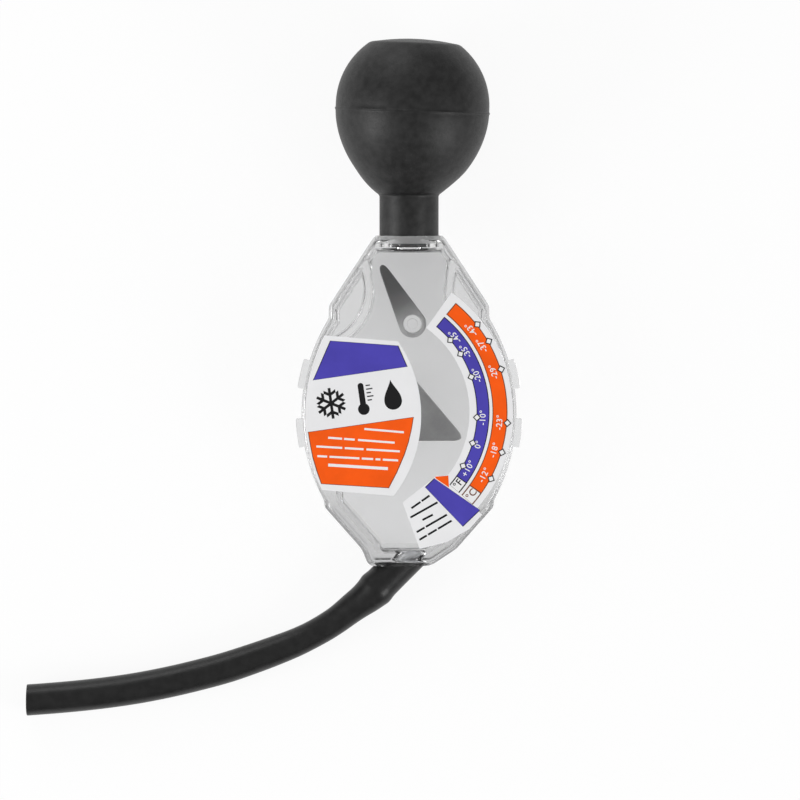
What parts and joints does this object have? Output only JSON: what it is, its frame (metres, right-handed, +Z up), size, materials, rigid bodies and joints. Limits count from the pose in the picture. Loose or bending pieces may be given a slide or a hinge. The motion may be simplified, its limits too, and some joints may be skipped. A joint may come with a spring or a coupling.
{
  "type": "coolant hydrometer",
  "caption": "Dial coolant tester lying on its back: rubber squeeze bulb, clear two-shell float chamber with a swinging pointer and level vane, printed scale and suction hose.",
  "frame": {"origin": "on the surface that the tester lies on, under the middle of the tester without its hose", "axes": "+X to the right of the dial, +Y towards the bulb, +Z up out of the dial face"},
  "size_m": [0.1496, 0.2034, 0.0464],
  "materials": {
    "bulb_rubber": "matt black moulded rubber with a mould line",
    "hose_rubber": "satin black extruded rubber",
    "clear_plastic": "clear glossy moulded plastic with a faint grey tint",
    "pointer_plastic": "matt mid-grey moulded plastic",
    "vane_plastic": "matt dark grey moulded plastic",
    "weight_brass": "turned brass slug",
    "axle_steel": "ground steel pin",
    "label_film": "white printed film with violet and orange areas",
    "nipple_plastic": "translucent moulded plastic"
  },
  "bodies": {
    "housing": {"front_shell": "clear_plastic", "rear_shell": "clear_plastic", "bulb_base": "bulb_rubber", "pointer_axle": "axle_steel", "name_label": "label_film", "scale_label": "label_film", "hose_nipple": "nipple_plastic", "suction_hose": "hose_rubber"},
    "crown": {"bulb_crown": "bulb_rubber"},
    "pointer": {"pointer_float": "pointer_plastic", "balance_weight": "weight_brass"},
    "vane": {"level_vane": "vane_plastic"}
  },
  "joints": [
    {"name": "bulb_squeeze", "type": "slide", "parent": "housing", "child": "crown", "axis": [0, -0.9954, -0.0958], "range_m": [0, 0.014], "stiffness_N_per_m": 1500, "deforming": ["bulb_base"]},
    {"name": "pointer_swing", "type": "hinge", "parent": "housing", "child": "pointer", "pos_m": [-0.0128, -0.0322, 0.01449], "axis": [0, -0.0958, 0.9954], "range_deg": [-25, 63]},
    {"name": "vane_swing", "type": "hinge", "parent": "housing", "child": "vane", "pos_m": [0.001, -0.00612, 0.017], "axis": [0, -0.0958, 0.9954], "range_deg": [-50, 3]}
  ]
}
